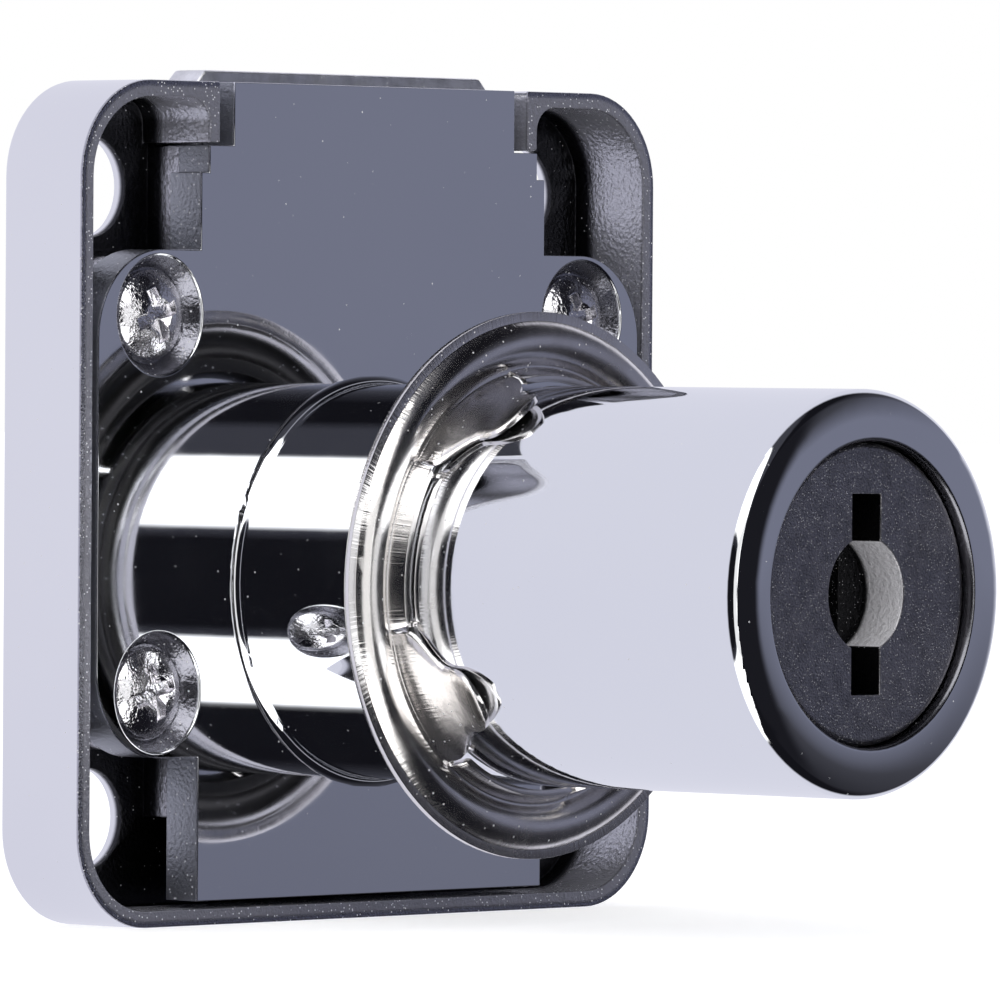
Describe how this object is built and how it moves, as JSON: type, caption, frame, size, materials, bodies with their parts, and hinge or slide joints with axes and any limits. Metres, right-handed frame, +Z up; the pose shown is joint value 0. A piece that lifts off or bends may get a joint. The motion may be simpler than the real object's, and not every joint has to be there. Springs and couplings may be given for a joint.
{
  "type": "drawer lock",
  "caption": "Square surface-mounted drawer lock with a round key barrel, sliding dead bolt, wafer plug and sprung rosette.",
  "frame": {"origin": "middle of the four mounting holes, on the back face of the case", "axes": "+X to the right and +Z up as seen from the key side, +Y towards the back; the barrel points along -Y and the bolt goes out along +Z"},
  "size_m": [0.04, 0.0371, 0.0406],
  "materials": {
    "case_chrome": "polished chrome plate over a zinc casting",
    "plate_chrome": "mirror chrome plate over a zinc casting",
    "screw_steel": "plated steel with pressed cross recess",
    "bolt_zinc": "dull dark grey casting",
    "plug_zinc": "bead-blasted dark grey casting",
    "wafer_brass": "stamped brass",
    "spring_steel": "bright spring wire",
    "rosette_nickel": "bright nickel-plated sheet"
  },
  "bodies": {
    "case": {"rear_case": "case_chrome", "cylinder_plate": "plate_chrome", "plate_screws": "screw_steel"},
    "bolt": {"bolt": "bolt_zinc"},
    "plug": {"plug": "plug_zinc", "wafer_spring_1": "spring_steel", "wafer_spring_2": "spring_steel", "wafer_spring_3": "spring_steel", "wafer_spring_4": "spring_steel", "wafer_spring_5": "spring_steel", "wafer_spring_6": "spring_steel", "wafer_spring_7": "spring_steel", "retaining_spring": "spring_steel"},
    "wafer_1": {"wafer_1": "wafer_brass"},
    "wafer_2": {"wafer_2": "wafer_brass"},
    "wafer_3": {"wafer_3": "wafer_brass"},
    "wafer_4": {"wafer_4": "wafer_brass"},
    "wafer_5": {"wafer_5": "wafer_brass"},
    "wafer_6": {"wafer_6": "wafer_brass"},
    "wafer_7": {"wafer_7": "wafer_brass"},
    "retaining_wafer": {"retaining_wafer": "wafer_brass"},
    "rosette": {"rosette": "rosette_nickel"}
  },
  "joints": [
    {"name": "plug_turn", "type": "hinge", "parent": "case", "child": "plug", "pos_m": [0, -0.02, -0.0038], "axis": [0, 1, 0], "range_deg": [0, 180]},
    {"name": "bolt_slide", "type": "slide", "parent": "case", "child": "bolt", "axis": [0, 0, 1], "range_m": [0, 0.009]},
    {"name": "rosette_slide", "type": "slide", "parent": "case", "child": "rosette", "axis": [0, -1, 0], "range_m": [-0.0098, 0.0169]},
    {"name": "wafer_1_slide", "type": "slide", "parent": "plug", "child": "wafer_1", "axis": [0, 0, 1], "range_m": [0, 0.0012], "deforming": ["wafer_spring_1"]},
    {"name": "wafer_2_slide", "type": "slide", "parent": "plug", "child": "wafer_2", "axis": [0, 0, -1], "range_m": [0, 0.0012], "deforming": ["wafer_spring_2"]},
    {"name": "wafer_3_slide", "type": "slide", "parent": "plug", "child": "wafer_3", "axis": [0, 0, 1], "range_m": [0, 0.0012], "deforming": ["wafer_spring_3"]},
    {"name": "wafer_4_slide", "type": "slide", "parent": "plug", "child": "wafer_4", "axis": [0, 0, -1], "range_m": [0, 0.0012], "deforming": ["wafer_spring_4"]},
    {"name": "wafer_5_slide", "type": "slide", "parent": "plug", "child": "wafer_5", "axis": [0, 0, 1], "range_m": [0, 0.0012], "deforming": ["wafer_spring_5"]},
    {"name": "wafer_6_slide", "type": "slide", "parent": "plug", "child": "wafer_6", "axis": [0, 0, -1], "range_m": [0, 0.0012], "deforming": ["wafer_spring_6"]},
    {"name": "wafer_7_slide", "type": "slide", "parent": "plug", "child": "wafer_7", "axis": [0, 0, 1], "range_m": [0, 0.0012], "deforming": ["wafer_spring_7"]},
    {"name": "retainer_slide", "type": "slide", "parent": "plug", "child": "retaining_wafer", "axis": [0, 0, 1], "range_m": [-0.001, 0], "stiffness_N_per_m": 30, "springref_m": 0.0005, "deforming": ["retaining_spring"]}
  ],
  "couplings": [
    {"joint": "plug_turn", "follows": "bolt_slide", "rad_per_m": 349.06},
    {"joint": "wafer_2_slide", "follows": "wafer_1_slide", "ratio": 1},
    {"joint": "wafer_3_slide", "follows": "wafer_1_slide", "ratio": 1},
    {"joint": "wafer_4_slide", "follows": "wafer_1_slide", "ratio": 1},
    {"joint": "wafer_5_slide", "follows": "wafer_1_slide", "ratio": 1},
    {"joint": "wafer_6_slide", "follows": "wafer_1_slide", "ratio": 1},
    {"joint": "wafer_7_slide", "follows": "wafer_1_slide", "ratio": 1}
  ]
}
